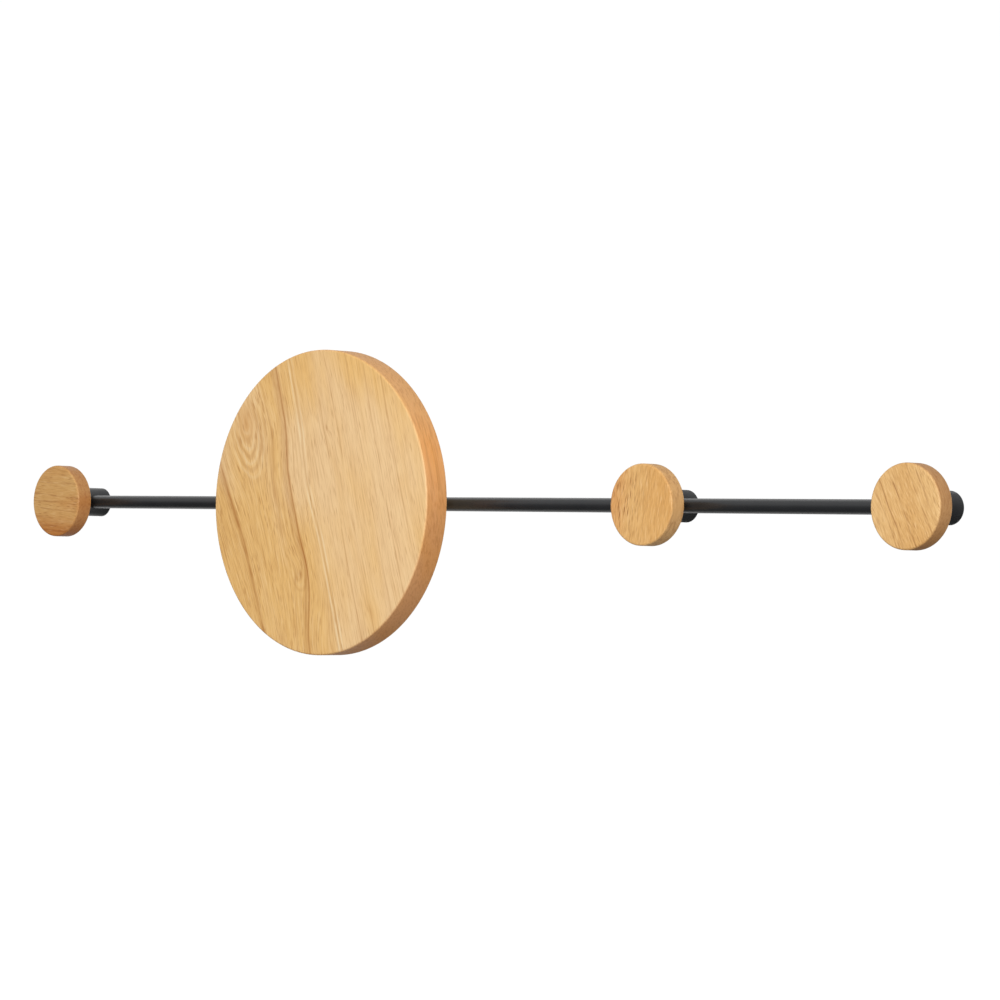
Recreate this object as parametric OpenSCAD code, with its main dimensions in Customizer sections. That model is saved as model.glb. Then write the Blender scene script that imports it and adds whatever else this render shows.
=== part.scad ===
// Wall hook rack: a round rail in four posts, with three small wooden knobs and one large wooden disc.
// X runs along the rail, -Y points from the wall into the room, and +Z is up. Sizes are in millimetres.
// The origin lies on the wall, at the rail's height, midway between the two end posts.

/* [Rack] */
// Length over the outer edges of the two end knobs
rack_length = 800; // [560:5:1100]
// Distance from the wall to the back faces of the knobs and the disc
reach = 31; // [26:0.5:45]

/* [Wooden pieces] */
// Diameter of the small knobs
knob_d = 50; // [36:1:70]
// Thickness of the small knobs
knob_t = 12; // [12:0.5:20]
// Diameter of the large disc
disc_d = 200; // [120:1:260]
// Thickness of the large disc
disc_t = 19; // [15:0.5:30]
// Radius that softens both edges of every wooden rim
rim_r = 1.3; // [0.5:0.1:3]

/* [Rail] */
// Diameter of the rail
rail_d = 9; // [7:0.1:11.5]
// Distance from the wall to the rail's axis
rail_out = 15; // [12.5:0.5:19]
// How far each end of the rail runs past the axis of its end post
rail_past = 4.5; // [3.5:0.1:5]
// Chamfer on the rail's ends
rail_chamfer = 0.6; // [0.2:0.1:1]

/* [Posts] */
// Diameter of the posts
post_d = 20; // [16.5:0.1:28]
// Wall of the posts around the socket in their wall end
socket_wall = 3; // [2.5:0.1:3.5]
// Metal left between that socket and the hole for the rail
socket_web = 1.45; // [1:0.05:2.5]
// Chamfer on both ends of the posts
post_chamfer = 0.4; // [0.2:0.1:0.8]

/* [Wall spigots] */
// Free depth between a spigot and the floor of its socket
spigot_room = 2.5; // [1:0.1:3]
// Chamfer that leads a spigot into its socket
spigot_chamfer = 0.6; // [0.2:0.1:1]
// Clearance hole for the wall screw
screw_hole_d = 4.5; // [3.5:0.1:5]
// Diameter of the countersink for the wall screw's head
screw_head_d = 8.6; // [6.5:0.1:9]

/* [Fasteners] */
// Thread diameter of the studs that hold the wooden pieces
stud_d = 6; // [5:1:8]
// How far a knob's stud reaches into its insert
knob_stud_reach = 8; // [5:0.5:9]
// How far the large disc's stud reaches into its insert
disc_stud_reach = 11.5; // [6:0.5:13]
// Length of the inserts in the small knobs
knob_insert_l = 9; // [8:0.5:10]
// Length of the insert in the large disc
disc_insert_l = 12.5; // [9:0.5:13]
// Wall between an insert's thread and the roots of its outer ridges
insert_wall = 1.1; // [0.8:0.1:2]
// Height of the ridges that grip the wood
insert_ridge = 0.6; // [0.3:0.1:1]
// Number of ridges on an insert
insert_ridges = 5; // [3:1:7]
// Thread diameter of the grub screws under the posts
grub_d = 3; // [3:0.5:3.5]
// Length of the grub screws
grub_l = 4; // [3.6:0.1:4.4]
// How deep the grub screws sit below the surface of the posts
grub_recess = 0.3; // [0.1:0.1:0.5]
// Width across the flats of the hex socket in the studs
stud_hex = 3; // [2:0.5:4]
// Width across the flats of the hex socket in the grub screws
grub_hex = 1.5; // [1.3:0.1:2]

/* [Clearances] */
// Gap around the rail in the posts, on the radius
rail_gap = 0.05; // [0.02:0.01:0.2]
// Gap around a spigot in its socket, on the radius
spigot_gap = 0.1; // [0.05:0.01:0.2]
// Gap in a threaded pair, on the radius
thread_gap = 0.05; // [0.02:0.01:0.1]
// Gap past the ends of the rail, and past an insert in its hole
end_gap = 0.5; // [0.2:0.1:1]

/* [Hidden] */

$fn = 96;
cut = 1; // how far a cutting shape runs past the surface it opens

pale_wood = "#e6c394";
honey_wood = "#dcae70";
black_steel = "#2c2c2e";
zinc = "#b9bdc0";
brass = "#c9a557";

// the free gaps between neighbouring rims are all the same
rim_gap = (rack_length - 3 * knob_d - disc_d) / 3;
left_x = -rack_length / 2 + knob_d / 2;
disc_x = -rack_length / 2 + knob_d + rim_gap + disc_d / 2;
middle_x = disc_x + disc_d / 2 + rim_gap + knob_d / 2;
right_x = rack_length / 2 - knob_d / 2;

rail_r = rail_d / 2;
rail_hole_r = rail_r + rail_gap;
rail_front = rail_out + rail_r; // wall to the rail's room side
rail_end = right_x + rail_past;

post_r = post_d / 2;
socket_r = post_r - socket_wall;
socket_depth = rail_out - rail_hole_r - socket_web;

spigot_r = socket_r - spigot_gap;
spigot_l = socket_depth - spigot_room;
grub_y = spigot_l / 2; // wall to the grub screw's axis
grub_in = post_r - grub_recess - grub_l; // post's axis to the grub screw's tip

stud_r = stud_d / 2;
thread_r = stud_r + thread_gap;
insert_root_r = thread_r + insert_wall;
insert_r = insert_root_r + insert_ridge;
hex_corner = 1 / cos(30); // corner radius of a hexagon for each unit of half its width across the flats

// turns an outline of [radius, distance from the wall] about an axis that points into the room
module turned(outline) {
    rotate([90, 0, 0])
        rotate_extrude()
            polygon(outline);
}

// a straight round bar or hole from one distance from the wall to another
module round_out(r, from, to) {
    translate([0, -from, 0])
        rotate([90, 0, 0])
            cylinder(r = r, h = to - from);
}

// a six-sided key socket that is sunk from the bottom face of what lies on +Z
module key_socket(flats, depth) {
    translate([0, 0, -cut])
        cylinder(r = flats / 2 * hex_corner, h = depth + cut, $fn = 6);
}

// a flat round wooden piece with softened edges, whose back is drilled for its insert
module wooden_round(d, t, insert_l) {
    difference() {
        union() {
            round_out(d / 2, reach + rim_r, reach + t - rim_r);
            round_out(d / 2 - rim_r, reach, reach + t);
            for (edge = [reach + rim_r, reach + t - rim_r])
                translate([0, -edge, 0])
                    rotate([90, 0, 0])
                        rotate_extrude()
                            translate([d / 2 - rim_r, 0])
                                circle(r = rim_r);
        }
        round_out(insert_r, reach - cut, reach + insert_l + end_gap);
    }
}

// the post stands on the wall, and the rail's hole runs from one distance beside its axis to another
module post(hole_from, hole_to) {
    difference() {
        turned([
            [0, 0],
            [post_r - post_chamfer, 0],
            [post_r, post_chamfer],
            [post_r, reach - post_chamfer],
            [post_r - post_chamfer, reach],
            [0, reach]
        ]);
        translate([hole_from, -rail_out, 0])
            rotate([0, 90, 0])
                cylinder(r = rail_hole_r, h = hole_to - hole_from);
        round_out(socket_r, -cut, socket_depth);
        round_out(thread_r, rail_out, reach + cut);
        translate([0, -grub_y, 0])
            mirror([0, 0, 1])
                cylinder(r = grub_d / 2 + thread_gap, h = post_r + cut);
    }
}

module through_post() {
    post(-post_r - cut, post_r + cut);
}

// side is -1 for a post that holds the rail's left end, and 1 for its right end
module end_post(side) {
    blind = rail_past + end_gap;
    if (side < 0)
        post(-blind, post_r + cut);
    else
        post(-post_r - cut, blind);
}

// a ridged sleeve that is driven into the wood, flush with its back face
module threaded_insert(l) {
    pitch = l / insert_ridges;
    ridges = [
        for (i = [0:insert_ridges - 1], p = [
            [insert_root_r, reach + i * pitch],
            [insert_r, reach + (i + 0.4) * pitch],
            [insert_r, reach + (i + 0.6) * pitch]
        ]) p
    ];
    turned(concat(
        [[thread_r, reach]],
        ridges,
        [[insert_root_r, reach + l], [thread_r, reach + l]]
    ));
}

// a headless screw from the rail to a distance inside the insert, driven by the key socket in its far end
module stud(into_insert) {
    tip = reach + into_insert;
    difference() {
        turned([
            [0, rail_front],
            [stud_r * 0.6, rail_front],
            [stud_r, rail_front + stud_r * 0.4],
            [stud_r, tip - stud_r * 0.2],
            [stud_r * 0.8, tip],
            [0, tip]
        ]);
        translate([0, -tip, 0])
            rotate([-90, 0, 0])
                key_socket(stud_hex, stud_d / 2);
    }
}

// the disc that is screwed to the wall, and over which the post slides
module wall_spigot() {
    countersink = (screw_head_d - screw_hole_d) / 2;
    difference() {
        turned([
            [screw_hole_d / 2, 0],
            [spigot_r, 0],
            [spigot_r, spigot_l - spigot_chamfer],
            [spigot_r - spigot_chamfer, spigot_l],
            [screw_head_d / 2, spigot_l],
            [screw_hole_d / 2, spigot_l - countersink]
        ]);
        // the seat for the grub screw's tip
        translate([0, -grub_y, -grub_in])
            mirror([0, 0, 1])
                cylinder(r = grub_d / 2 + thread_gap, h = post_r);
    }
}

module grub_screw() {
    translate([0, -grub_y, -post_r + grub_recess])
        difference() {
            cylinder(r = grub_d / 2, h = grub_l);
            key_socket(grub_hex, grub_l / 2);
        }
}

module large_disc() {
    color(pale_wood)
        translate([disc_x, 0, 0])
            wooden_round(disc_d, disc_t, disc_insert_l);
}

module knob_at(x) {
    color(honey_wood)
        translate([x, 0, 0])
            wooden_round(knob_d, knob_t, knob_insert_l);
}

module left_knob() { knob_at(left_x); }
module middle_knob() { knob_at(middle_x); }
module right_knob() { knob_at(right_x); }

module rail() {
    color(black_steel)
        translate([0, -rail_out, 0])
            rotate([0, 90, 0])
                rotate_extrude()
                    polygon([
                        [0, -rail_end],
                        [rail_r - rail_chamfer, -rail_end],
                        [rail_r, rail_chamfer - rail_end],
                        [rail_r, rail_end - rail_chamfer],
                        [rail_r - rail_chamfer, rail_end],
                        [0, rail_end]
                    ]);
}

module left_post() { color(black_steel) translate([left_x, 0, 0]) end_post(-1); }
module disc_post() { color(black_steel) translate([disc_x, 0, 0]) through_post(); }
module middle_post() { color(black_steel) translate([middle_x, 0, 0]) through_post(); }
module right_post() { color(black_steel) translate([right_x, 0, 0]) end_post(1); }

module disc_insert() { color(brass) translate([disc_x, 0, 0]) threaded_insert(disc_insert_l); }
module left_insert() { color(brass) translate([left_x, 0, 0]) threaded_insert(knob_insert_l); }
module middle_insert() { color(brass) translate([middle_x, 0, 0]) threaded_insert(knob_insert_l); }
module right_insert() { color(brass) translate([right_x, 0, 0]) threaded_insert(knob_insert_l); }

module disc_stud() { color(zinc) translate([disc_x, 0, 0]) stud(disc_stud_reach); }

module knob_studs() {
    color(zinc)
        for (x = [left_x, middle_x, right_x])
            translate([x, 0, 0])
                stud(knob_stud_reach);
}

module left_wall_spigot() { color(zinc) translate([left_x, 0, 0]) wall_spigot(); }
module disc_wall_spigot() { color(zinc) translate([disc_x, 0, 0]) wall_spigot(); }
module middle_wall_spigot() { color(zinc) translate([middle_x, 0, 0]) wall_spigot(); }
module right_wall_spigot() { color(zinc) translate([right_x, 0, 0]) wall_spigot(); }

module post_grub_screws() {
    color(black_steel)
        for (x = [left_x, disc_x, middle_x, right_x])
            translate([x, 0, 0])
                grub_screw();
}

large_disc();
left_knob();
middle_knob();
right_knob();
rail();
left_post();
disc_post();
middle_post();
right_post();
disc_insert();
left_insert();
middle_insert();
right_insert();
disc_stud();
knob_studs();
left_wall_spigot();
disc_wall_spigot();
middle_wall_spigot();
right_wall_spigot();
post_grub_screws();
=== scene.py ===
# %% [markdown]
# # A wall hook rack, turned and threaded in Blender
#
# The real rack is a round black rail that runs along a wall through four round black posts. Three of the
# posts carry a small wooden knob, and the second from the left carries a large wooden disc. Nearly all of it
# is made on a lathe, so nearly all of it can be modelled the way a lathe works: draw half of the outline and
# turn it about an axis. The sizes come from the CAD model, which Blender loads first as a fixed frame.

# %% Load the frame
import math
from types import SimpleNamespace

import bmesh
import bpy
from mathutils import Matrix, Vector


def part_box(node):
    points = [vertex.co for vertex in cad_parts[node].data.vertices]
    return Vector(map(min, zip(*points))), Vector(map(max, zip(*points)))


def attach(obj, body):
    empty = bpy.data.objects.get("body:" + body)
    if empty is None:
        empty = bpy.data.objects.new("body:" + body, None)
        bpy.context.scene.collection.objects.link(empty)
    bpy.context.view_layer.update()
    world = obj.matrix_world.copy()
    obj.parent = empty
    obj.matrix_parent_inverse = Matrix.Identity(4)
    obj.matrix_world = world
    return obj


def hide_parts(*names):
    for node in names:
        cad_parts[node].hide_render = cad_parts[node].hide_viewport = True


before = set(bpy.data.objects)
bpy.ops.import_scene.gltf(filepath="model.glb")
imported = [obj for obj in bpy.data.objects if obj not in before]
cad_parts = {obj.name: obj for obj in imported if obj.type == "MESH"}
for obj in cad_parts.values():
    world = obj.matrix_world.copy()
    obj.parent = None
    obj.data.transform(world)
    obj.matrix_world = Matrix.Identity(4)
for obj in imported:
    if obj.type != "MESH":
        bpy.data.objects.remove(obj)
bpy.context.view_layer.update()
MM = 0.001
print("CAD nodes:", len(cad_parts))

# %% [markdown]
# ## The sizes that the pieces share
#
# X runs along the rail, -Y points from the wall into the room, and Z is up. The wall is the plane Y = 0, so
# the distance of anything from the wall is its Y with the sign changed. A piece could be placed by eye, but
# asking the CAD nodes for their boxes is exact, and it still holds when somebody changes the CAD model.


# %% Measure the CAD nodes
def middle(node):
    """The middle of a CAD node's box."""
    low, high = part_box(node)
    return (low + high) / 2


def radius(node, axis=2):
    """Half of a CAD node's size along one axis."""
    low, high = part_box(node)
    return (high[axis] - low[axis]) / 2


def nearest(node):
    """The distance from the wall to the side of a CAD node that faces the wall."""
    return -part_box(node)[1].y


def furthest(node):
    """The distance from the wall to the side of a CAD node that faces the room."""
    return -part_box(node)[0].y


PLACES = ["left", "disc", "middle", "right"]
POST_X = {place: middle(f"{place}_post").x for place in PLACES}
WOOD_NODE = {
    "left": "left_knob",
    "disc": "large_disc",
    "middle": "middle_knob",
    "right": "right_knob",
}
reach = nearest("large_disc")
rail_out = -middle("rail").y
rail_r = radius("rail")
post_r = radius("disc_post")
print("posts at", {place: round(x / MM) for place, x in POST_X.items()}, "mm along the rail")
print("wood starts", round(reach / MM, 1), "mm from the wall")

# %% [markdown]
# ## The camera
#
# The rack is seen from its right-hand end, about 43 degrees round from straight ahead and almost level. A
# long lens keeps the small knobs from changing size too much from one end to the other. A camera looks along
# its own -Z, with its own Y up, so its rotation can be written down as three directions: right, up and back.

# %% Place the camera
LENS = 135.24
CAMERA_AT = (1.6786, -1.7494, -0.03335)
TURNED = math.radians(43.53)
TILTED_UP = math.radians(0.868)
ROLLED = math.radians(1.138)

forward = Vector((
    -math.sin(TURNED) * math.cos(TILTED_UP),
    math.cos(TURNED) * math.cos(TILTED_UP),
    math.sin(TILTED_UP),
))
level_right = Vector((math.cos(TURNED), math.sin(TURNED), 0))
level_up = level_right.cross(forward)
right = math.cos(ROLLED) * level_right + math.sin(ROLLED) * level_up
up = math.cos(ROLLED) * level_up - math.sin(ROLLED) * level_right

camera_data = bpy.data.cameras.new("camera")
camera_data.sensor_width = 36
camera_data.lens = LENS
camera = bpy.data.objects.new("camera", camera_data)
bpy.context.scene.collection.objects.link(camera)
rotation = Matrix((right, up, -forward)).transposed().to_4x4()
camera.matrix_world = Matrix.Translation(CAMERA_AT) @ rotation
bpy.context.scene.camera = camera
print("camera is", round(camera.location.length, 2), "m from the middle of the rack")

# %% [markdown]
# ## Studio light
#
# The rack hangs in a bright, white room, which is the world around it. The world could be one plain white,
# but then black steel would look grey all over. So it is lighter above than below, and lightest on the side
# of the wall. Glossy rays get their own version of it. It has a bright band between the rack and the wall,
# which draws the thin bright lines along both edges of the rail, and a bright ceiling in the room, which
# makes the rail's upper half lighter than its lower half. Only what the camera sees directly is pure white.
#
# A direction in the world is three numbers from -1 to 1, so each fade below is a range of Y or Z. A band that
# fades out only past 1 reaches all the way round to the middle of the wall.

# %% Describe the world
SOFT = {"below": 0.29, "above": 0.37, "room": 0, "wall": 0.36, "wall_ends": (1.5, 2)}
GLOSS = {"below": 0.06, "above": 0.38, "room": 0.5, "wall": 0.95, "wall_ends": (0.6, 0.7)}
SKY_FADE = (-0.5, 0.8)
CEILING_FADE = (-0.1, 0.4)
ROOM_FADE = (-0.3, 0.3)
WALL_FADE = (-0.15, 0.3)
WALL_FOOT_FADE = (-1, -0.6)
WHITE_TO_CAMERA = 1.02


def new_world():
    """A world that looks white, and that lights things more from above and from the wall than from below."""
    world = bpy.data.worlds.new("studio")
    world.use_nodes = True
    nodes = world.node_tree.nodes
    links = world.node_tree.links
    nodes.clear()

    def ramp(direction, fade, low, high):
        """A smooth step of the world's brightness over a fade of Y or Z."""
        node = nodes.new("ShaderNodeMapRange")
        node.interpolation_type = "SMOOTHSTEP"
        links.new(split.outputs[direction], node.inputs["Value"])
        for name, number in zip(("From Min", "From Max", "To Min", "To Max"), (*fade, low, high)):
            node.inputs[name].default_value = number
        return node.outputs["Result"]

    def join(operation, first, second):
        """A sum or a product of two brightnesses."""
        node = nodes.new("ShaderNodeMath")
        node.operation = operation
        links.new(first, node.inputs[0])
        links.new(second, node.inputs[1])
        return node.outputs[0]

    def background(strength):
        """White light of some strength."""
        node = nodes.new("ShaderNodeBackground")
        node.inputs["Color"].default_value = (1, 1, 1, 1)
        if isinstance(strength, bpy.types.NodeSocket):
            links.new(strength, node.inputs["Strength"])
        else:
            node.inputs["Strength"].default_value = strength
        return node.outputs[0]

    def choose(kind, otherwise, chosen):
        """The chosen light for one kind of ray, and the other light for the rest."""
        node = nodes.new("ShaderNodeMixShader")
        links.new(ray.outputs[kind], node.inputs[0])
        links.new(otherwise, node.inputs[1])
        links.new(chosen, node.inputs[2])
        return node.outputs[0]

    split = nodes.new("ShaderNodeSeparateXYZ")
    ray = nodes.new("ShaderNodeLightPath")
    links.new(nodes.new("ShaderNodeTexCoord").outputs["Generated"], split.inputs[0])
    not_low = ramp("Z", WALL_FOOT_FADE, 0, 1)
    high = ramp("Z", CEILING_FADE, 0, 1)
    surroundings = []
    for part in (SOFT, GLOSS):
        sky = ramp("Z", SKY_FADE, part["below"], part["above"])
        ceiling = join("MULTIPLY", ramp("Y", ROOM_FADE, part["room"], 0), high)
        behind = ramp("Y", WALL_FADE, 0, part["wall"])
        band = join("MULTIPLY", join("MULTIPLY", behind, not_low), ramp("Y", part["wall_ends"], 1, 0))
        surroundings.append(background(join("ADD", join("ADD", sky, ceiling), band)))
    choice = choose("Is Glossy Ray", surroundings[0], surroundings[1])
    choice = choose("Is Camera Ray", choice, background(WHITE_TO_CAMERA))
    links.new(choice, nodes.new("ShaderNodeOutputWorld").inputs["Surface"])
    return world


bpy.context.scene.world = new_world()
bpy.context.scene.view_settings.view_transform = "Standard"
print("world:", bpy.context.scene.world.name)

# %% [markdown]
# ## Lamps
#
# A lamp could be a point, but a point draws hard shadows and sharp glints. A large square lamp shades a round
# edge gently. The main one stands in the room, to the right and a little above the rack, and gives the faces
# their brightness. A weak one shines from the wall's side, so that the back isn't lost in the dark.


# %% Hang the lamps
def soft_lamp(name, direction, distance, size, watts):
    """A square lamp that shines on the middle of the rack from one direction."""
    data = bpy.data.lights.new(name, "AREA")
    data.size = size
    data.energy = watts
    lamp = bpy.data.objects.new(name, data)
    bpy.context.scene.collection.objects.link(lamp)
    toward = Vector(direction).normalized()
    lamp.location = toward * distance
    lamp.rotation_euler = toward.to_track_quat("Z", "Y").to_euler()
    lamp.visible_camera = False
    return lamp


key = soft_lamp("key_lamp", direction=(0.55, -0.79, 0.22), distance=2.6, size=1.3, watts=57)
wall_side = soft_lamp("wall_side_lamp", direction=(-0.1, 1, 0.05), distance=2.6, size=1.6, watts=9)
print("lamps:", key.name, wall_side.name)

# %% [markdown]
# ## The floor
#
# A plain pale floor lies as far below the rack as a floor does below a coat rack. It could be left out, since
# the camera looks past it, but from higher up it gives the rack something to hang above. It takes no part in
# the light on the rack, so that the world alone decides how dark the undersides are.

# %% Lay the floor
FLOOR_Z = -1.6
FLOOR_HALF = 20

floor_mesh = bpy.data.meshes.new("floor")
floor_corners = [(x * FLOOR_HALF, y * FLOOR_HALF, FLOOR_Z) for x, y in ((-1, -1), (1, -1), (1, 1), (-1, 1))]
floor_mesh.from_pydata(floor_corners, [], [(0, 1, 2, 3)])
floor = bpy.data.objects.new("floor", floor_mesh)
bpy.context.scene.collection.objects.link(floor)
floor.visible_diffuse = False
floor.visible_glossy = False
floor_paint = bpy.data.materials.new("pale_floor")
floor_paint.use_nodes = True
floor_shader = floor_paint.node_tree.nodes["Principled BSDF"]
floor_shader.inputs["Base Color"].default_value = (0.9, 0.9, 0.89, 1)
floor_shader.inputs["Roughness"].default_value = 0.9
floor_shader.inputs["Emission Color"].default_value = (1, 1, 1, 1)
floor_shader.inputs["Emission Strength"].default_value = 0.7
floor_mesh.materials.append(floor_paint)
print("floor at", FLOOR_Z, "m")

# %% [markdown]
# ## A short way to write materials
#
# A material in Blender is a tree of nodes, and a tree drawn by hand is quick to make but hard to read later.
# The class below keeps one tree and adds a node for each call, so that a finish can be written as a recipe:
# mix this tone into that one, by this much. Anything that a call takes can be a number or another node's
# output. Sizes inside the recipes are in millimetres.


# %% Recipe
def tone(red, green, blue):
    """A colour given as 0 to 255, in the linear light that Blender works in."""
    linear = [((c / 255 + 0.055) / 1.055) ** 2.4 if c > 10 else c / 3295 for c in (red, green, blue)]
    return (*linear, 1)


class Recipe:
    """The node tree of one material."""

    def __init__(self, name):
        self.material = bpy.data.materials.new(name)
        self.material.use_nodes = True
        self.tree = self.material.node_tree
        self.shader = self.tree.nodes["Principled BSDF"]

    def put(self, value, socket):
        """Gives a socket a number, a colour or another node's output."""
        if isinstance(value, bpy.types.NodeSocket):
            self.tree.links.new(value, socket)
        else:
            socket.default_value = value

    def node(self, kind, settings=None, **inputs):
        """Adds a node, and fills in its settings and the inputs that are named."""
        node = self.tree.nodes.new("ShaderNode" + kind)
        for name, value in (settings or {}).items():
            setattr(node, name, value)
        for name, value in inputs.items():
            self.put(value, node.inputs[name.replace("_", " ")])
        return node

    def math(self, operation, *values):
        """One step of arithmetic, such as ADD or SINE."""
        node = self.node("Math", {"operation": operation})
        for value, socket in zip(values, node.inputs):
            self.put(value, socket)
        return node.outputs[0]

    def total(self, *values):
        """The sum of several values."""
        result = values[0]
        for value in values[1:]:
            result = self.math("ADD", result, value)
        return result

    def times(self, *values):
        """The product of several values."""
        result = values[0]
        for value in values[1:]:
            result = self.math("MULTIPLY", result, value)
        return result

    def between(self, mask, low, high):
        """A value that is low where a mask is 0 and high where it is 1."""
        return self.math("ADD", low, self.times(mask, high - low))

    def bell(self, value, centre, width):
        """1 where the value is at the centre, and falling to nothing in about two widths."""
        off = self.math("DIVIDE", self.math("SUBTRACT", value, centre), width)
        return self.math("EXPONENT", self.times(off, off, -1))

    def patch(self, across, along, at, size):
        """1 in the middle of one spot, and falling to nothing in about two sizes."""
        return self.times(self.bell(across, at[0], size[0]), self.bell(along, at[1], size[1]))

    def step(self, value, low, high):
        """A smooth step from 0 at low to 1 at high. It falls instead where high is the lower one."""
        rising = high > low
        node = self.node(
            "MapRange",
            {"interpolation_type": "SMOOTHSTEP"},
            Value=value,
            From_Min=low if rising else high,
            From_Max=high if rising else low,
            To_Min=0 if rising else 1,
            To_Max=1 if rising else 0,
        )
        return node.outputs["Result"]

    def blend(self, under, over, amount):
        """The colour over laid on the colour under, by an amount from 0 to 1."""
        # A Mix node has sockets for numbers and for vectors too. Its colours are the inputs 6 and 7.
        node = self.tree.nodes.new("ShaderNodeMix")
        node.data_type = "RGBA"
        self.put(amount, node.inputs[0])
        self.put(under, node.inputs[6])
        self.put(over, node.inputs[7])
        return node.outputs[2]

    def lay(self, under, over, strength, *masks):
        """Lays a colour over another with some strength, only where all of the masks are."""
        return self.blend(under, over, self.times(*masks, strength))

    def squeeze(self, where, sizes):
        """A place divided by a size in each direction, so that a pattern there gets that size."""
        node = self.node("VectorMath", {"operation": "DIVIDE"})
        self.put(where, node.inputs[0])
        self.put(sizes, node.inputs[1])
        return node.outputs[0]

    def noise(self, where, sizes, detail=2, roughness=0.5):
        """Soft noise around 0.5, with blots of these sizes."""
        spot = self.squeeze(where, sizes)
        return self.node("TexNoise", Vector=spot, Scale=1, Detail=detail, Roughness=roughness).outputs["Fac"]

    def wander(self, where, sizes, distance, detail=2):
        """Noise that moves a line to either side, by up to half of a distance."""
        return self.times(self.math("SUBTRACT", self.noise(where, sizes, detail), 0.5), distance)

    def dashes(self, where, sizes, thin, thick):
        """Scattered dashes, one to a cell of these sizes. They are full within thin and gone at thick."""
        spot = self.squeeze(where, sizes)
        distance = self.node("TexVoronoi", Vector=spot, Scale=1).outputs["Distance"]
        return self.step(distance, thick, thin)

    def bumps(self, height, depth, strength):
        """Lets a height from 0 to 1 stand out of the surface, by a depth in metres."""
        bump = self.node("Bump", Height=height, Distance=depth, Strength=strength)
        self.put(bump.outputs[0], self.shader.inputs["Normal"])

    def finish(self, **inputs):
        """Fills in the shader's own sockets and returns the material."""
        for name, value in inputs.items():
            self.put(value, self.shader.inputs[name.replace("_", " ")])
        return self.material


print("a tone of 128 is", round(tone(128, 128, 128)[0], 3), "in linear light")

# %% [markdown]
# ## Wood that is solid all the way through
#
# The wooden pieces are turned from solid, pale, lacquered hardwood. A flat picture of wood would look right
# on the face and wrong on the rim, where the same fibres are cut across. So the pattern fills space, and the
# surface only shows where it was cut: long lines on the face, dots where the fibres end in the rim. Each
# piece has a lean, the angle of its grain in the face, because knobs that are screwed on stop at any angle.
# A place in the wood is given in millimetres from the piece's middle: across the grain, along it and deep.


# %% Grain
def grain_place(recipe, centre, lean):
    """Where a point is in a piece of wood, in millimetres across the grain, along it and deep."""
    turned = recipe.node(
        "VectorRotate",
        Vector=recipe.node("TexCoord").outputs["Object"],
        Center=centre,
        Axis=(0, 1, 0),
        Angle=math.radians(lean),
    )
    offset = recipe.node("VectorMath", {"operation": "SUBTRACT"})
    recipe.put(turned.outputs[0], offset.inputs[0])
    recipe.put(centre, offset.inputs[1])
    split = recipe.node("SeparateXYZ", Vector=recipe.squeeze(offset.outputs[0], (MM, MM, MM)))
    return split.outputs["X"], split.outputs["Z"], split.outputs["Y"]


def cut_direction(recipe, lean):
    """How far the surface is cut across the fibres, and how far it faces sideways, each from 0 to 1."""
    facing = recipe.node("TexCoord").outputs["Normal"]
    ends = recipe.node("VectorMath", {"operation": "DOT_PRODUCT"})
    recipe.put(facing, ends.inputs[0])
    recipe.put((-math.sin(math.radians(lean)), 0, math.cos(math.radians(lean))), ends.inputs[1])
    outward = recipe.node("SeparateXYZ", Vector=facing).outputs["Y"]
    end_cut = recipe.math("ABSOLUTE", ends.outputs["Value"])
    sideways = recipe.math("SUBTRACT", 1, recipe.math("ABSOLUTE", outward))
    return end_cut, sideways


def gather(recipe, across, along, deep):
    """Three values as one place."""
    return recipe.node("CombineXYZ", X=across, Y=along, Z=deep).outputs[0]


# %% [markdown]
# ## The figure of the large disc
#
# The disc's face has a figure of its own. A swirl at the upper left is the end of a limb that grew over: its
# lines run down, turn round in a U and run up again. A smaller one lies low in the middle. Between and beside
# them, long brown and pale lines run from top to bottom and bend out of their way.
#
# The lines could be drawn as curves, but then the fibres between them would stay straight. So a bend is made
# by moving the place at which the whole pattern is read. That moved place across the grain is called the
# flow.

# %% Bend the lines of the disc
DISC_HALF = radius("large_disc", 1) / MM
print("the disc is", round(2 * DISC_HALF, 1), "mm thick")


def disc_flow(recipe, across, along, deep):
    """The across direction of the disc, bent by its swirls and waves and by the slant of its rings."""

    def push(distance, at, size):
        """Moves the lines by a distance round one spot."""
        return recipe.times(recipe.patch(across, along, at, size), distance)

    right_of_swirl = push(-5, at=(-37, 56), size=(12, 30))
    left_of_swirl = push(4, at=(-72, 56), size=(10, 30))
    small_swirl = push(-5, at=(-28, -38), size=(8, 13))
    spot = push(3, at=(21, 45), size=(2.5, 5))
    top_bend = recipe.times(recipe.step(along, 25, 62), -5)
    foot_bend = recipe.times(recipe.step(along, -48, -95), 10.5)
    bends = recipe.times(recipe.math("ADD", top_bend, foot_bend), recipe.bell(across, -24, 19))
    fan = recipe.times(recipe.step(across, -40, -90), along, 0.13)
    drift = recipe.wander(gather(recipe, across, along, deep), (45, 110, 45), 6, detail=1)
    slant = recipe.times(recipe.math("ADD", deep, DISC_HALF), 0.7)
    return recipe.total(across, right_of_swirl, left_of_swirl, small_swirl, spot, bends, fan, drift, slant)


# %% [markdown]
# ## Swirls
#
# The lines of a swirl are rings round its middle, and a ring is a place with the same distance. Below the
# middle the distance is measured all round, which gives the bottom of the U. Above the middle it is measured
# only sideways, which gives the two straight arms.

# %% Swirls, spots and the knot of the disc
BROWN = tone(172, 106, 42)
AMBER = tone(210, 146, 66)
CREAM = tone(252, 226, 180)
SWIRL_FLATTENED = 0.42
print("below its middle a swirl counts each millimetre down as", SWIRL_FLATTENED)


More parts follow.
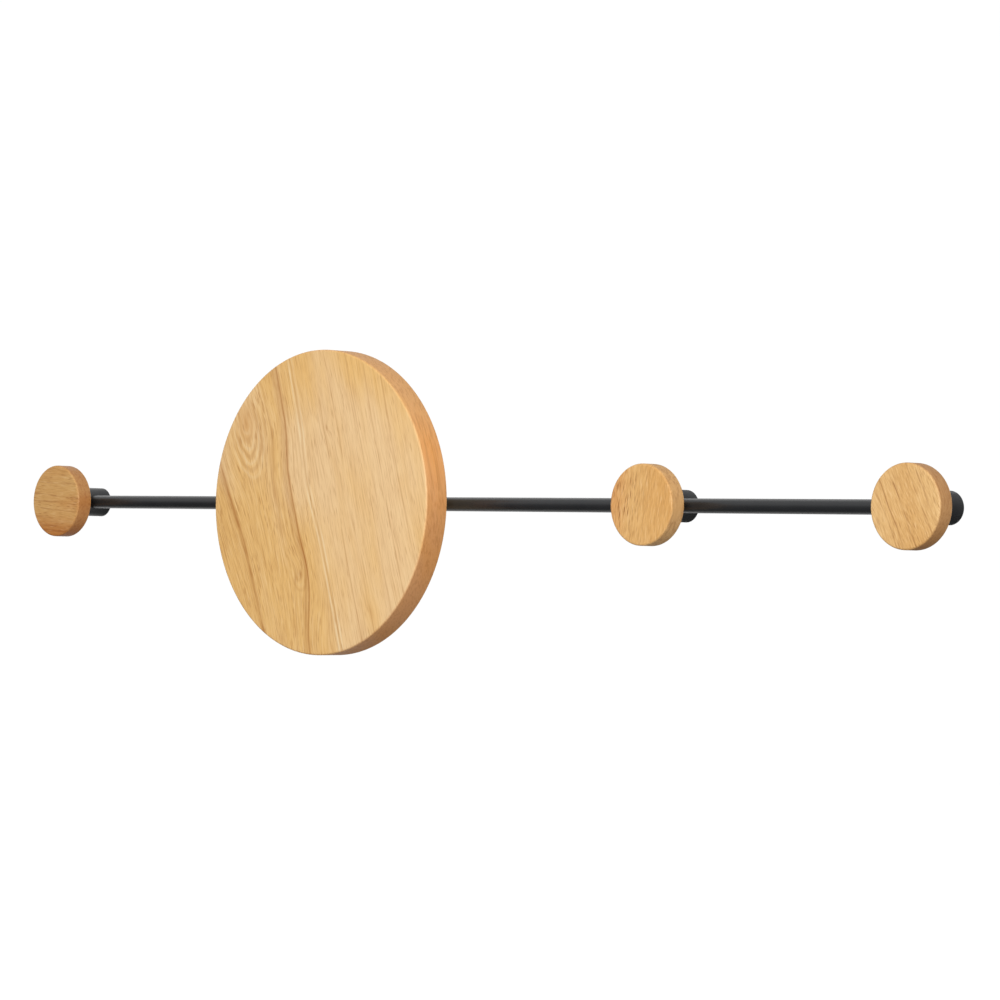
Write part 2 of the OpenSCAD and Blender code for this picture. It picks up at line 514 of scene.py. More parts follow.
def swirl_lines(recipe, grain, at, size, spacing):
    """Dark and pale lines, by turns, in the shape of a U round one swirl. They fade out at its size."""
    sideways = recipe.math("SUBTRACT", grain.across, at[0])
    below = recipe.math("MINIMUM", recipe.math("SUBTRACT", grain.along, at[1]), 0)
    below = recipe.times(below, SWIRL_FLATTENED)
    squares = recipe.math("ADD", recipe.times(sideways, sideways), recipe.times(below, below))
    distance = recipe.math("SQRT", squares)
    uneven = recipe.math("ADD", distance, recipe.wander(grain.place, (9, 16, 9), 4))
    wave = recipe.math("SINE", recipe.times(uneven, 2 * math.pi / spacing))
    inside = recipe.step(distance, size, size * 0.75)
    near = recipe.times(inside, recipe.bell(grain.along, at[1] - size * 1.2, size * 1.5))
    return recipe.times(recipe.step(wave, 0.1, 1), near), recipe.times(recipe.step(wave, -0.2, -1), near)


def disc_swirls(recipe, grain, colour):
    """Lays the swirls over the disc's colour, with their amber eye, a spot and a knot."""
    big, pale_big = swirl_lines(recipe, grain, at=(-54, 70), size=19, spacing=4.2)
    small, pale_small = swirl_lines(recipe, grain, at=(-29, -36), size=9, spacing=3)
    eye = recipe.patch(grain.across, grain.along, (-53, 70), (8, 13))
    outermost = recipe.times(recipe.step(grain.flow, -74, -84), 0.12)
    spot = recipe.patch(grain.across, grain.along, (20, 45), (0.9, 2.2))
    knot = recipe.patch(grain.across, grain.along, (-27.5, -41), (1.6, 2.6))
    dark_lines = recipe.math("ADD", big, recipe.times(small, 0.6))
    pale_lines = recipe.math("ADD", pale_big, recipe.times(pale_small, 0.4))
    colour = recipe.lay(colour, AMBER, 0.45, recipe.math("ADD", eye, outermost), grain.face_on)
    colour = recipe.lay(colour, BROWN, 0.26, dark_lines, grain.face_on)
    colour = recipe.lay(colour, CREAM, 0.26, pale_lines, grain.face_on)
    return recipe.lay(colour, BROWN, 0.5, recipe.math("ADD", spot, knot), grain.face_on)


# %% [markdown]
# ## Long lines
#
# A growth ring that is cut lengthwise shows as one long line. A line is a bell: strong where the flow has
# one value, and gone a millimetre away. A wide weak bell beside a narrow strong one gives a line with a soft
# side.


# %% Long lines of the disc
def disc_long_lines(recipe, grain, colour):
    """Lays the disc's long brown and pale lines over its colour."""
    flow = grain.flow
    broken = recipe.step(recipe.noise(grain.place, (6, 30, 6)), 0.38, 0.6)
    middle_line = recipe.total(
        recipe.bell(flow, -22, 0.8),
        recipe.times(recipe.bell(flow, -25, 3.2), 0.42),
        recipe.times(recipe.patch(flow, grain.along, (-23, -33), (1.8, 13)), 0.6),
    )
    soft_side = recipe.times(recipe.bell(flow, -79, 3.5), 0.25)
    low_left = recipe.math("ADD", recipe.bell(flow, -77, 1.5), soft_side)
    faint = recipe.total(*[recipe.bell(flow, where, 0.55) for where in (-38, 17, 29, 48, 62, 76)])
    wave = recipe.times(recipe.noise(grain.place, (20, 60, 20)), 3)
    beside = recipe.total(grain.across, recipe.times(recipe.bell(grain.along, 18, 30), 4), wave)
    pale_pair = recipe.math("ADD", recipe.bell(beside, -3, 0.8), recipe.bell(beside, 0.4, 0.7))
    colour = recipe.lay(colour, BROWN, 0.6, middle_line, grain.face_on)
    colour = recipe.lay(colour, BROWN, recipe.between(broken, 0.3, 0.65), low_left, grain.face_on)
    colour = recipe.lay(colour, BROWN, 0.26, recipe.bell(beside, -1.4, 0.8), grain.face_on)
    colour = recipe.lay(colour, BROWN, 0.34, faint, broken, grain.face_on)
    return recipe.lay(colour, CREAM, 0.7, pale_pair, recipe.between(broken, 0.25, 1), grain.face_on)


# %% [markdown]
# ## The wood finish
#
# Under the figure, every piece has the same layers, from wide to fine: a slow drift between a pale and a
# deeper tone, bands that follow the growth rings, thin long lines, fibres, and pores. The pores of this wood
# are open, so they are short dark dashes on the face, and they are sunk a little into the lacquer. Cut ends
# and the turned rim drink more lacquer than the face and are more orange. Each layer is laid over the last
# with its own strength. The knobs differ in those strengths, in their shades and in a few lines of their
# own, as pieces of one wood do.


# %% The ground tone
def disc_drift(recipe, grain, drift):
    """Makes some wide areas of the disc deeper or paler than chance would."""
    across = grain.across
    along = grain.along
    left = recipe.times(recipe.step(across, 32, -90), 0.34)
    right = recipe.times(recipe.step(across, 32, 100), 0.07)
    top = recipe.times(recipe.step(along, 30, 95), recipe.step(across, -60, -10), 0.22)
    upper_left = recipe.times(recipe.step(along, -10, 50), recipe.step(across, -15, -50), -0.2)
    pale_area = recipe.times(recipe.patch(across, along, (-38, 2), (22, 28)), -0.14)
    deep_area = recipe.times(recipe.patch(across, along, (-45, -50), (17, 20)), 0.13)
    return recipe.total(drift, left, right, top, upper_left, pale_area, deep_area, -0.06)


def ground_tone(recipe, grain, tones, figure, shade):
    """The widest layer: a drift from a pale to a deeper tone, and a shade that covers one side of a knob."""
    drift = recipe.noise(grain.place, (34, 120, 34))
    if figure:
        drift = disc_drift(recipe, grain, drift)
    colour = recipe.blend(tones[0], tones[1], recipe.step(drift, 0.36, 0.74))
    if shade:
        start, full, shade_tone = shade
        edge = recipe.math("ADD", grain.across, recipe.times(drift, 8))
        colour = recipe.blend(colour, shade_tone, recipe.step(edge, start, full))
    return colour


# %% Rings, fibres and lines
LIGHT_FIBRE = tone(255, 226, 180)
print("a light fibre is", [round(part, 2) for part in LIGHT_FIBRE[:3]], "in linear light")


def rings_and_fibres(recipe, grain, colour, dark, look):
    """Lays growth rings, long lines and fibres over a colour. Gives back the colour, rings and fibres."""
    ring = recipe.noise(grain.place, (3, look["band_length"], 3), detail=3, roughness=0.6)
    band = recipe.times(grain.clear, look["bands"])
    colour = recipe.lay(colour, dark, band, recipe.step(ring, 0.5, 0.8))
    colour = recipe.lay(colour, LIGHT_FIBRE, 0.5, recipe.step(ring, 0.48, 0.22), band)
    long_line = recipe.step(recipe.noise(grain.place, (0.9, 55, 1.4), detail=1), 0.6, 0.74)
    colour = recipe.lay(colour, dark, look["lines"], long_line, grain.clear)
    fibre = recipe.noise(grain.place, (0.65, look["fibre_length"], 0.65), roughness=0.6)
    strand = recipe.times(grain.clear, look["fibres"])
    colour = recipe.lay(colour, dark, strand, recipe.step(fibre, 0.42, 0.8))
    colour = recipe.lay(colour, LIGHT_FIBRE, 0.8, recipe.step(fibre, 0.5, 0.2), strand)
    return colour, ring, fibre


def own_lines(recipe, grain, colour, dark, lines):
    """Lays single thin lines over a colour. Each is (place across the grain, width, strength)."""
    bent = recipe.math("ADD", grain.across, recipe.wander(grain.place, (12, 40, 12), 5))
    broken = recipe.step(recipe.noise(grain.place, (2.5, 13, 2.5), detail=1), 0.36, 0.6)
    shown = recipe.between(broken, 0.15, 1)
    for where, width, strength in lines:
        colour = recipe.lay(colour, dark, strength, recipe.bell(bent, where, width), grain.face_on, shown)
    return colour


# %% Pores and rim
PORE_EDGE = 12
print("pores on one side only thin out over", 2 * PORE_EDGE, "mm")


def pores(recipe, grain, dashes):
    """Open pores. Each kind is (width, length, strength, share outside the patches, last place or None)."""
    patches = recipe.step(recipe.noise(grain.place, (8, 34, 8)), 0.4, 0.62)
    open_pores = 0
    for width, length, strength, outside, last in dashes:
        wanted = recipe.between(patches, outside, 1)
        if last is not None:
            wanted = recipe.times(wanted, recipe.step(grain.across, last + PORE_EDGE, last - PORE_EDGE))
        dots = recipe.dashes(grain.place, (width, length, width), 0.1, 0.34)
        open_pores = recipe.math("MAXIMUM", open_pores, recipe.times(dots, wanted, grain.clear, strength))
    return open_pores


def turned_rim(recipe, grain, colour, dark, rim, figure):
    """Lays the rim's tone and streaks over a colour. The disc's rim gets painted light above, a paler grey,
    and painted shade below, a dark brown.
    """
    rim_tone, rim_strength = rim
    colour = recipe.lay(colour, rim_tone, rim_strength, grain.sideways)
    if figure:
        # Painted light: a paler grey tone on the upper half of the disc's rim. Painted shade: a dark brown on
        # its lower half.
        colour = recipe.lay(colour, tone(197, 174, 131), 0.3, recipe.step(grain.along, 0, 50), grain.sideways)
        colour = recipe.lay(colour, tone(110, 62, 44), 0.26, recipe.step(grain.along, 0, -55), grain.sideways)
    streak = recipe.step(recipe.noise(grain.place, (1.8, 50, 1.8), detail=3), 0.45, 0.66)
    return recipe.lay(colour, dark, 0.34, streak, grain.sideways)


# %% Wood
def read_grain(recipe, node, lean, figure, seed):
    """All that the layers of one piece share: its places, its flow and the way its surface was cut."""
    across, along, deep = grain_place(recipe, middle(node), lean)
    end_cut, sideways = cut_direction(recipe, lean)
    flow = disc_flow(recipe, across, along, deep) if figure else across
    clear = recipe.math("SUBTRACT", 1, recipe.times(end_cut, sideways, 0.75))
    if figure:
        clear = recipe.times(clear, recipe.between(recipe.step(across, 25, -35), 0.64, 1))
    return SimpleNamespace(
        across=across,
        along=along,
        flow=flow,
        place=gather(recipe, recipe.math("ADD", flow, seed), recipe.math("ADD", along, seed * 3), deep),
        sideways=sideways,
        face_on=recipe.math("SUBTRACT", 1, sideways),
        clear=clear,
    )


def wood(name, node, lean, tones, rim, look, lines=(), dashes=(), figure=False, shade=None, seed=0):
    """A lacquered hardwood whose grain leans by some degrees, with the top to the left."""
    dark = tones[2]
    recipe = Recipe(name)
    grain = read_grain(recipe, node, lean, figure, seed)
    colour = ground_tone(recipe, grain, tones, figure, shade)
    colour, ring, fibre = rings_and_fibres(recipe, grain, colour, dark, look)
    if figure:
        colour = disc_swirls(recipe, grain, colour)
        colour = disc_long_lines(recipe, grain, colour)
    colour = own_lines(recipe, grain, colour, dark, lines)
    open_pores = pores(recipe, grain, dashes)
    colour = recipe.blend(colour, dark, open_pores)
    colour = turned_rim(recipe, grain, colour, dark, rim, figure)
    height = recipe.total(recipe.times(open_pores, -0.7), recipe.times(fibre, 0.22), recipe.times(ring, 0.2))
    recipe.bumps(height, 0.05 * MM, 0.8)
    print(name, "grain leans", lean, "degrees")
    rough = recipe.between(open_pores, 0.5, 0.7)
    return recipe.finish(Base_Color=colour, Roughness=rough, Specular_IOR_Level=0.35)


# %% [markdown]
# ## Four pieces of one wood
#
# The large disc is palest. The left knob's grain is nearly level, the middle one's is nearly upright, and
# the right one's is steep. The three tones are pale, deeper and dark. The look says how strong the bands,
# lines and fibres are, and how long the bands and the fibres are. A shade is (where it starts, where it is
# full, tone), and a rim is (tone, strength). The seed shifts the pattern, so that no two pieces show the
# same wood.

# %% Wood for each piece
WOOD = {
    "disc": wood(
        "pale_disc_wood",
        "large_disc",
        16,
        tones=(tone(244, 206, 153), tone(240, 193, 121), tone(168, 104, 46)),
        rim=(tone(226, 128, 4), 0.55),
        look={"bands": 0.26, "band_length": 150, "lines": 0.34, "fibres": 0.46, "fibre_length": 15},
        dashes=[(1.4, 13, 0.55, 0.3, None), (2.4, 10, 0.36, 0.1, -20)],
        figure=True,
        seed=11,
    ),
    "left": wood(
        "left_knob_wood",
        "left_knob",
        86.5,
        tones=(tone(218, 170, 104), tone(208, 144, 76), tone(148, 78, 28)),
        rim=(tone(146, 74, 18), 0.48),
        look={"bands": 0.2, "band_length": 60, "lines": 0.2, "fibres": 0.32, "fibre_length": 9},
        lines=[
            (13, 0.5, 0.35),
            (4, 0.5, 0.5),
            (-0.5, 0.5, 0.4),
            (-6, 0.4, 0.4),
            (-17, 0.7, 0.5),
            (-20.5, 0.8, 0.5),
        ],
        dashes=[(1.4, 8, 0.5, 0.2, None)],
        shade=(-4, -20, tone(194, 126, 60)),
        seed=37,
    ),
    "middle": wood(
        "middle_knob_wood",
        "middle_knob",
        -8,
        tones=(tone(228, 180, 114), tone(222, 168, 98), tone(136, 76, 28)),
        rim=(tone(198, 156, 108), 0.4),
        look={"bands": 0.14, "band_length": 26, "lines": 0.05, "fibres": 0.42, "fibre_length": 8},
        dashes=[(1.1, 10, 0.7, 0.5, 3), (1.6, 12, 0.85, 0.6, 0)],
        shade=(-2, -30, tone(216, 150, 86)),
        seed=53,
    ),
    "right": wood(
        "right_knob_wood",
        "right_knob",
        26,
        tones=(tone(226, 184, 124), tone(216, 168, 104), tone(142, 86, 36)),
        rim=(tone(156, 92, 36), 0.58),
        look={"bands": 0.12, "band_length": 50, "lines": 0.1, "fibres": 0.36, "fibre_length": 6},
        lines=[(-10.5, 0.5, 0.6), (-1.5, 0.5, 0.7), (11, 0.5, 0.5), (16.5, 0.5, 0.4), (-15, 0.4, 0.3)],
        dashes=[(1.4, 7, 0.36, 0.25, None), (2, 10, 0.36, 0.2, None)],
        seed=71,
    ),
}


# %% [markdown]
# ## The metal finishes
#
# The rail and the posts are steel with a matt black powder coat. Powder melts into a skin that is never
# quite flat, so it gets fine, low bumps and an uneven gloss. The spigots and studs are zinc plated, with the
# fine grooves of the lathe, and the inserts are brass. A metal with one even roughness looks like plastic,
# and that is why each finish changes a little from place to place.


# %% Metals
def powder_coat():
    """Matt black powder coat on steel."""
    recipe = Recipe("black_powder_coat")
    place = recipe.squeeze(recipe.node("TexCoord").outputs["Object"], (MM, MM, MM))
    skin = recipe.noise(place, (0.55, 0.55, 0.55))
    wide = recipe.noise(place, (14, 14, 14))
    colour = recipe.blend(tone(32, 33, 35), tone(42, 43, 45), wide)
    recipe.bumps(skin, 0.03 * MM, 0.6)
    rough = recipe.between(wide, 0.27, 0.37)
    return recipe.finish(Base_Color=colour, Roughness=rough, Specular_IOR_Level=0.45)


def turned_metal(name, colour, worn, rough):
    """A bright metal with the fine rings that a lathe leaves."""
    recipe = Recipe(name)
    place = recipe.squeeze(recipe.node("TexCoord").outputs["Object"], (MM, MM, MM))
    rings = recipe.noise(place, (8, 0.12, 8))
    cloud = recipe.noise(place, (3, 3, 3), detail=3)
    mixed = recipe.blend(colour, worn, recipe.step(cloud, 0.4, 0.7))
    recipe.bumps(rings, 0.01 * MM, 0.5)
    uneven = recipe.between(rings, rough, rough + 0.18)
    return recipe.finish(Base_Color=mixed, Roughness=uneven, Metallic=1.0)


BLACK = powder_coat()
ZINC = turned_metal("zinc_plate", tone(196, 200, 205), tone(168, 172, 178), 0.28)
BRASS = turned_metal("brass", tone(214, 178, 100), tone(184, 148, 78), 0.26)
print("metals:", BLACK.name, ZINC.name, BRASS.name)

# %% [markdown]
# ## A lathe in mesh code
#
# Blender's Screw modifier could turn an outline, but it knows only circles. Here each point of the outline
# becomes a ring, and the radius of a ring can be a number or a rule that gives it from the angle. That small
# change is enough for a hexagon socket, whose radius is longest at its corners, and for a screw thread, whose
# groove moves along the axis as the angle grows.


# %% Turning
def turn(mesh, outline, place, segments, closed=False):
    """Turns an outline of (radius, distance) points. A closed outline joins its last point to its first."""
    rings = []
    for size, distance in outline:
        ring = []
        for i in range(segments if size != 0 else 1):
            angle = 2 * math.pi * i / segments
            r = size(angle) if callable(size) else size
            ring.append(mesh.verts.new(place(r * math.cos(angle), r * math.sin(angle), distance)))
        rings.append(ring)
    partners = rings[1:] + (rings[:1] if closed else [])
    for near, far in zip(rings, partners):
        for i in range(segments):
            j = i + 1
            corners = [near[i % len(near)], near[j % len(near)], far[j % len(far)], far[i % len(far)]]
            mesh.faces.new(list(dict.fromkeys(corners)))


def from_wall(x):
    """Puts an outline on an axis that points from the wall into the room. Distance 0 is at the wall."""
    return lambda a, b, distance: (x + a, -distance, b)


def along_rail(a, b, distance):
    """Puts an outline on the rail's axis. Distance is along X."""
    return (distance, a - rail_out, b)


def arc(centre_r, centre_d, size, start, end, steps):
    """Points of a rounded edge in an outline, from one angle in degrees to another."""
    points = []
    for i in range(steps + 1):
        angle = math.radians(start + (end - start) * i / steps)
        points.append((centre_r + size * math.cos(angle), centre_d + size * math.sin(angle)))
    return points


def hexagon(flats):
    """The rule for the radius of a hexagon with this width across its flats."""
    sixth = math.pi / 3
    return lambda angle: flats / 2 / math.cos(angle % sixth - sixth / 2)


RINGS_A_TURN = 8
print("a 3 mm hexagon is", round(2 * hexagon(3)(0), 2), "mm across its corners")


def thread(outer, depth, pitch, distance):
    """The rule for the radius of a screw thread at one distance along its axis."""

    def size(angle):
        turn_part = (distance / pitch - angle / (2 * math.pi)) % 1
        # 0 on the crest and 1 at the root, with a straight flank between them.
        groove = min(1, max(0, 1.6 - 3.2 * abs(turn_part - 0.5)))
        return outer - depth * groove

    return size


def thread_rings(outer, depth, pitch, start, end):
    """Rings that are close enough together for a thread to show, with a plain ring at each end."""
    count = round((end - start) / pitch * RINGS_A_TURN)
    rings = [(outer - depth, start)]
    for i in range(1, count):
        distance = start + (end - start) * i / count
        rings.append((thread(outer, depth, pitch, distance), distance))
    return rings + [(outer - depth, end)]


# %% [markdown]
# ## From mesh to finished piece
#
# Every piece goes through the same last steps. Its faces are turned outward, its edges are smooth where the
# surface curves and sharp where it was cut, it gets its finish, and the CAD node that it stands for is
# hidden.
# Deciding smooth or sharp by the angle between two faces saves marking each edge by hand.

# %% Finishing a piece
SHARP_FROM = math.radians(33)
print("edges are sharp from", round(math.degrees(SHARP_FROM)), "degrees")


def set_edges(mesh):
    """Turns the faces outward, and makes each edge smooth or sharp by its angle."""
    bmesh.ops.recalc_face_normals(mesh, faces=mesh.faces)
    for face in mesh.faces:
        face.smooth = True
    for edge in mesh.edges:
        edge.smooth = edge.calc_face_angle(0) < SHARP_FROM


def new_object(name, mesh):
    """An object that holds a finished mesh."""
    set_edges(mesh)
    data = bpy.data.meshes.new(name)
    mesh.to_mesh(data)
    mesh.free()
    piece = bpy.data.objects.new(name, data)
    bpy.context.scene.collection.objects.link(piece)
    return piece


def stand_for(piece, node, finish):
    """Gives a piece its finish and lets it take the place of a CAD node."""
    piece.data.materials.clear()
    piece.data.materials.append(finish)
    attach(piece, "root")
    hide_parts(node)
    print(piece.name, "has", len(piece.data.polygons), "faces")


# %% [markdown]
# ## The wooden disc and knobs
#
# On the real rack these are flat rounds with a rim that is softened just enough not to feel sharp, and a
# blind hole in the back for a threaded insert. A cylinder with a Bevel modifier would be close. Turning the
# outline gives the same shape with evenly spaced rings, so that the light runs over the rounded edge without
# a kink.

# %% Wooden rounds
EDGE = 1.3 * MM
HOLE_ROOM = 0.5 * MM
EDGE_STEPS = 7
LAST_RING = 0.4 * MM
BACK_RINGS = 5
FRONT_RINGS = 6
DISC_SEGMENTS = 256
KNOB_SEGMENTS = 144


def face_rings(inner, outer, distance, count):
    """Rings across a flat face, the last one close to its edge."""
    edge = outer - LAST_RING
    return [(inner + (edge - inner) * i / count, distance) for i in range(1, count + 1)]


def wooden_round(name, place_name, segments):
    """One wooden piece, turned and drilled."""
    node = WOOD_NODE[place_name]
    insert = f"{place_name}_insert"
    size = radius(node)
    back = nearest(node)
    front = furthest(node)
    hole_r = radius(insert)
    hole_end = furthest(insert) + HOLE_ROOM
    outline = [(0, hole_end), (hole_r, hole_end), (hole_r, back)]
    outline += face_rings(hole_r, size - EDGE, back, BACK_RINGS)
    outline += arc(size - EDGE, back + EDGE, EDGE, -90, 0, EDGE_STEPS)
    outline += arc(size - EDGE, front - EDGE, EDGE, 0, 90, EDGE_STEPS)
    outline += reversed(face_rings(0, size - EDGE, front, FRONT_RINGS))
    outline += [(0, front)]
    mesh = bmesh.new()
    turn(mesh, outline, from_wall(middle(node).x), segments)
    return new_object(name, mesh)


large_disc = wooden_round("large_disc_wood", "disc", DISC_SEGMENTS)
stand_for(large_disc, "large_disc", WOOD["disc"])
for place in ("left", "middle", "right"):
    knob = wooden_round(f"{place}_knob_wood", place, KNOB_SEGMENTS)
    stand_for(knob, WOOD_NODE[place], WOOD[place])

# %% [markdown]
# ## The rail
#
# One round rod, cut square and lightly chamfered. Its ends are inside the end posts, so only its long
# straight sides ever show.

# %% Rail
RAIL_CHAMFER = 0.6 * MM
RAIL_SEGMENTS = 96
RAIL_STRETCHES = 24

rail_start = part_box("rail")[0].x
rail_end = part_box("rail")[1].x
straight = rail_end - rail_start - 2 * RAIL_CHAMFER
rail_outline = [(0, rail_start), (rail_r - RAIL_CHAMFER, rail_start)]
for i in range(RAIL_STRETCHES + 1):
    rail_outline.append((rail_r, rail_start + RAIL_CHAMFER + straight * i / RAIL_STRETCHES))
rail_outline += [(rail_r - RAIL_CHAMFER, rail_end), (0, rail_end)]
rail_mesh = bmesh.new()
turn(rail_mesh, rail_outline, along_rail, RAIL_SEGMENTS)
rail = new_object("rail_rod", rail_mesh)
stand_for(rail, "rail", BLACK)

# %% [markdown]
# ## The posts
#
# A post is a turned bar with four holes: a socket in its wall end, a thread in its room end, a cross-hole
# for the rail and a small hole for the grub screw below. The first two lie on its own axis, so they belong
# to the outline. The other two cross it. They could be made by joining rings of faces by hand, but a Boolean
# modifier finds those curved edges for us. The result is then stored in the mesh, so no hidden cutter is
# left behind.

# %% Posts
SOCKET_ROOM = 0.1 * MM
SOCKET_DEPTH = 9 * MM
THREAD_ROOM = 0.05 * MM
RAIL_ROOM = 0.05 * MM
RAIL_END_ROOM = 0.5 * MM
POST_EDGE = 0.4 * MM
POST_EDGE_STEPS = 4
POST_SEGMENTS = 128
SMALL_SEGMENTS = 48
PAST = 1 * MM
SAME_POINT = 1e-7
socket_r = radius("disc_wall_spigot") + SOCKET_ROOM
stud_r = radius("disc_stud")
stud_hole_r = stud_r + THREAD_ROOM
grub_r = radius("post_grub_screws", 1)
grub_out = -middle("post_grub_screws").y


def upward(x):
    """Puts an outline on a grub screw's axis, which points up. Distance is along Z."""
    return lambda a, b, distance: (x + a, b - grub_out, distance)


def post_bar(x):
    """The turned bar of a post, with the two holes on its axis."""
    outline = [(0, SOCKET_DEPTH), (socket_r, SOCKET_DEPTH), (socket_r, 0)]
    outline += arc(post_r - POST_EDGE, POST_EDGE, POST_EDGE, -90, 0, POST_EDGE_STEPS)
    outline += arc(post_r - POST_EDGE, reach - POST_EDGE, POST_EDGE, 0, 90, POST_EDGE_STEPS)
    outline += [(stud_hole_r, reach), (stud_hole_r, rail_out), (0, rail_out)]
    mesh = bmesh.new()
    turn(mesh, outline, from_wall(x), POST_SEGMENTS)
    return new_object("post_bar", mesh)


def drill(name, size, start, end, place, segments):
    """A plain round solid that a Boolean takes away."""
    mesh = bmesh.new()
    turn(mesh, [(0, start), (size, start), (size, end), (0, end)], place, segments)
    return new_object(name, mesh)


def cut_away(piece, tools):
    """Takes the tools away from a piece, stores the result in its mesh and removes the tools."""
    for tool in tools:
        cut = piece.modifiers.new("cut", "BOOLEAN")
        cut.object = tool
        cut.solver = "EXACT"
    graph = bpy.context.evaluated_depsgraph_get()
    result = bpy.data.meshes.new_from_object(piece.evaluated_get(graph))
    piece.modifiers.clear()
    mesh = bmesh.new()
    mesh.from_mesh(result)
    bmesh.ops.remove_doubles(mesh, verts=mesh.verts, dist=SAME_POINT)
    set_edges(mesh)
    mesh.to_mesh(piece.data)
    mesh.free()
    for tool in tools:
        bpy.data.objects.remove(tool)


def make_post(place_name):
    """One post with all four holes. The end posts keep a wall in front of the rail's ends."""
    x = POST_X[place_name]
    start = x - post_r - PAST
    end = x + post_r + PAST
    if place_name == "left":
        start = rail_start - RAIL_END_ROOM
    if place_name == "right":
        end = rail_end + RAIL_END_ROOM
    rail_drill = drill("rail_drill", rail_r + RAIL_ROOM, start, end, along_rail, RAIL_SEGMENTS)
    screw_drill = drill("screw_drill", grub_r + THREAD_ROOM, -post_r - PAST, 0, upward(x), SMALL_SEGMENTS)
    piece = post_bar(x)
    piece.name = f"{place_name}_post_bar"
    cut_away(piece, [rail_drill, screw_drill])
    return piece


for place in PLACES:
    stand_for(make_post(place), f"{place}_post", BLACK)

# %% [markdown]
# ## Spigots, studs, inserts and grub screws
#
# These are the parts that hold the rack together and to the wall. They hardly show, but somebody who takes
# the rack apart in Blender should find real screws inside: threads that climb, sockets with six sides and a
# countersink for the wall screw. A spigot and an insert are rings. So their outlines are closed, and no face
# covers the hole.

# %% Wall spigots
SPIGOT_CHAMFER = 0.6 * MM
SPIGOT_FOOT_CHAMFER = 0.2 * MM
SPIGOT_SEGMENTS = 96
SCREW_HOLE_R = 2.25 * MM
COUNTERSINK_R = 4.3 * MM


def wall_spigot(place_name):
    """The disc that is screwed to the wall. A post slides over it."""
    node = f"{place_name}_wall_spigot"
    size = radius(node)
    length = furthest(node)
    outline = [
        (SCREW_HOLE_R, 0),
        (size - SPIGOT_FOOT_CHAMFER, 0),
        (size, SPIGOT_FOOT_CHAMFER),
        (size, length - SPIGOT_CHAMFER),
        (size - SPIGOT_CHAMFER, length),
        (COUNTERSINK_R, length),
        (SCREW_HOLE_R, length - (COUNTERSINK_R - SCREW_HOLE_R)),
    ]
    mesh = bmesh.new()
    turn(mesh, outline, from_wall(middle(node).x), SPIGOT_SEGMENTS, closed=True)
    return new_object(f"{place_name}_wall_spigot_turned", mesh)


for place in PLACES:
    stand_for(wall_spigot(place), f"{place}_wall_spigot", ZINC)

# %% [markdown]
# ## Threaded inserts
#
# Wood is too soft for a fine thread, so each wooden piece has a brass sleeve in its back. The ridges outside
# grip the wood, and the thread inside takes the stud. Ridges could be a second mesh round a plain sleeve, but
# as points of the outline they make one closed solid.

# %% Threaded inserts
RIDGES = 5
INSERT_RIDGE = 0.6 * MM
INNER_THREAD = 0.35 * MM
STUD_PITCH = 1 * MM


def insert_sleeve(place_name):
    """A sleeve with ridges that grip the wood, and a thread inside for the stud."""
    node = f"{place_name}_insert"
    size = radius(node)
    start = nearest(node)
    length = furthest(node) - start
    pitch = length / RIDGES
    root = size - INSERT_RIDGE
    inner = stud_hole_r + INNER_THREAD
    outline = [(inner, start)]
    for i in range(RIDGES):
        ridge = start + i * pitch
        outline += [(root, ridge), (size, ridge + 0.4 * pitch), (size, ridge + 0.6 * pitch)]
    outline += [(root, start + length), (inner, start + length)]
    inside = thread_rings(inner, INNER_THREAD, STUD_PITCH, start, start + length)
    outline += reversed(inside[1:-1])
    mesh = bmesh.new()
    turn(mesh, outline, from_wall(middle(node).x), SMALL_SEGMENTS, closed=True)
    return new_object(f"{place_name}_insert_sleeve", mesh)


for place in PLACES:
    stand_for(insert_sleeve(place), f"{place}_insert", BRASS)

# %% [markdown]
# ## Studs
#
# A stud joins a post to its wooden piece, and its tip clamps the rail. It is turned with a hexagon socket in
# one end. The knobs have three equal studs, which are one node in the CAD model, so they share one mesh here.

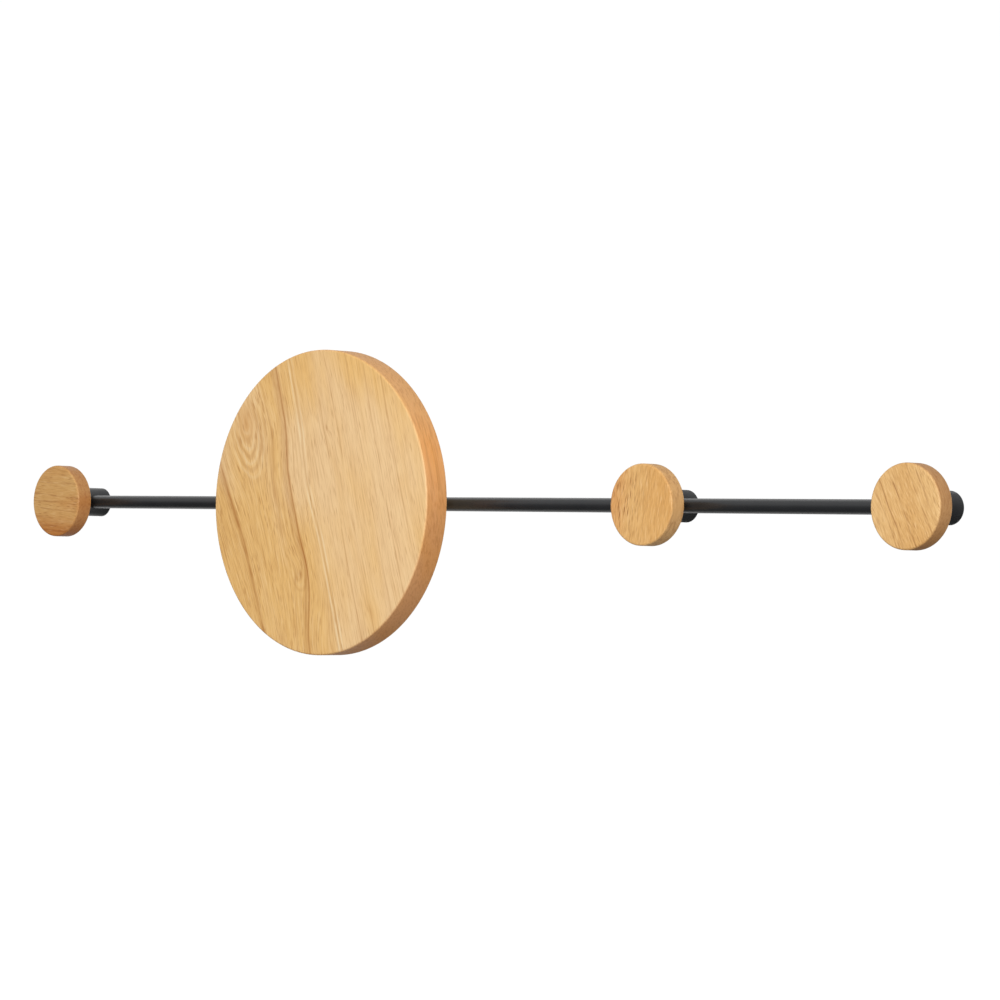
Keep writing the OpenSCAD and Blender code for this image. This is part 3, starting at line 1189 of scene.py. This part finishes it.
# %% Studs
STUD_THREAD = 0.45 * MM
STUD_HEX = 3 * MM
STUD_SOCKET = 3 * MM
STUD_TIP = 1.2 * MM
STUD_CHAMFER = 0.6 * MM
TIP_SHARE = 0.6
MOUTH_SHARE = 0.8


def add_stud(mesh, x, start, end):
    """Adds one threaded stud, with a cone at its wall end and a hexagon socket in its room end."""
    socket = hexagon(STUD_HEX)
    socket_end = end - STUD_SOCKET
    outline = [(0, start), (stud_r * TIP_SHARE, start)]
    outline += thread_rings(stud_r, STUD_THREAD, STUD_PITCH, start + STUD_TIP, end - STUD_CHAMFER)
    outline += [(stud_r * MOUTH_SHARE, end), (socket, end), (socket, socket_end), (0, socket_end)]
    turn(mesh, outline, from_wall(x), SMALL_SEGMENTS)


disc_stud_mesh = bmesh.new()
add_stud(disc_stud_mesh, POST_X["disc"], nearest("disc_stud"), furthest("disc_stud"))
stand_for(new_object("disc_stud_threaded", disc_stud_mesh), "disc_stud", ZINC)

knob_stud_mesh = bmesh.new()
for place in ("left", "middle", "right"):
    add_stud(knob_stud_mesh, POST_X[place], nearest("knob_studs"), furthest("knob_studs"))
stand_for(new_object("knob_studs_threaded", knob_stud_mesh), "knob_studs", ZINC)

# %% [markdown]
# ## Grub screws
#
# A small screw from below keeps each post on its spigot. It has no head, so its hexagon socket is in its own
# lower end, on the side that nobody sees. The same outline is turned once for each post.

# %% Grub screws
GRUB_PITCH = 0.5 * MM
GRUB_THREAD = 0.25 * MM
GRUB_HEX = 1.5 * MM
GRUB_SOCKET = 2 * MM
GRUB_TIP = 0.4 * MM

grub_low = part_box("post_grub_screws")[0].z
grub_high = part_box("post_grub_screws")[1].z
grub_socket = hexagon(GRUB_HEX)
grub_outline = [(0, grub_low + GRUB_SOCKET), (grub_socket, grub_low + GRUB_SOCKET), (grub_socket, grub_low)]
grub_outline += thread_rings(grub_r, GRUB_THREAD, GRUB_PITCH, grub_low, grub_high - GRUB_TIP)
grub_outline += [(grub_r * TIP_SHARE, grub_high), (0, grub_high)]
grub_mesh = bmesh.new()
for place in PLACES:
    turn(grub_mesh, grub_outline, upward(POST_X[place]), SMALL_SEGMENTS)
stand_for(new_object("grub_screws_threaded", grub_mesh), "post_grub_screws", BLACK)
